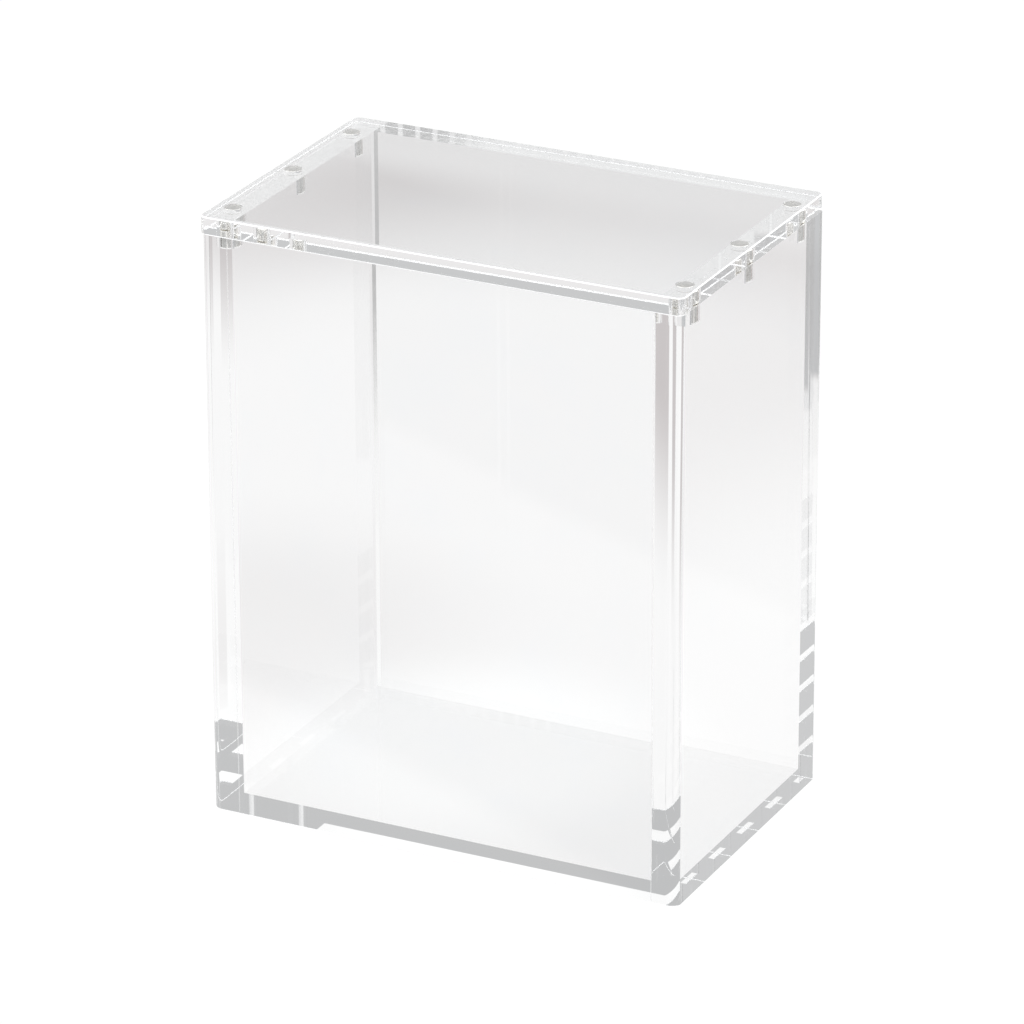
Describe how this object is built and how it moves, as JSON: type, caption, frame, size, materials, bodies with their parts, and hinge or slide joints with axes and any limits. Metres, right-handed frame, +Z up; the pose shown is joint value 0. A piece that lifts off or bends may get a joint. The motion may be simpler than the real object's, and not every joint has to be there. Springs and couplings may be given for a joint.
{
  "type": "trading card display case",
  "caption": "Clear acrylic display case: an upright open-top tub of bonded panels with a flat lift-off lid held down by small magnets along its two short sides.",
  "frame": {"origin": "middle of the footprint, on the surface the case stands on", "axes": "+Z up through the lid, +Y to the back, X along the wide front"},
  "size_m": [0.1136, 0.0716, 0.139],
  "materials": {
    "clear_acrylic": "flame-polished clear cast acrylic",
    "magnet_nickel": "bright nickel plate"
  },
  "bodies": {
    "case": {"base_panel": "clear_acrylic", "front_panel": "clear_acrylic", "back_panel": "clear_acrylic", "left_panel": "clear_acrylic", "right_panel": "clear_acrylic", "wall_magnet_left_front": "magnet_nickel", "wall_magnet_left_middle": "magnet_nickel", "wall_magnet_left_back": "magnet_nickel", "wall_magnet_right_front": "magnet_nickel", "wall_magnet_right_middle": "magnet_nickel", "wall_magnet_right_back": "magnet_nickel"},
    "lid": {"lid_panel": "clear_acrylic", "lid_magnet_left_front": "magnet_nickel", "lid_magnet_left_middle": "magnet_nickel", "lid_magnet_left_back": "magnet_nickel", "lid_magnet_right_front": "magnet_nickel", "lid_magnet_right_middle": "magnet_nickel", "lid_magnet_right_back": "magnet_nickel"}
  },
  "joints": [
    {"name": "lid_lift", "type": "slide", "parent": "case", "child": "lid", "axis": [0, 0, 1], "range_m": [0, 0.15]}
  ]
}
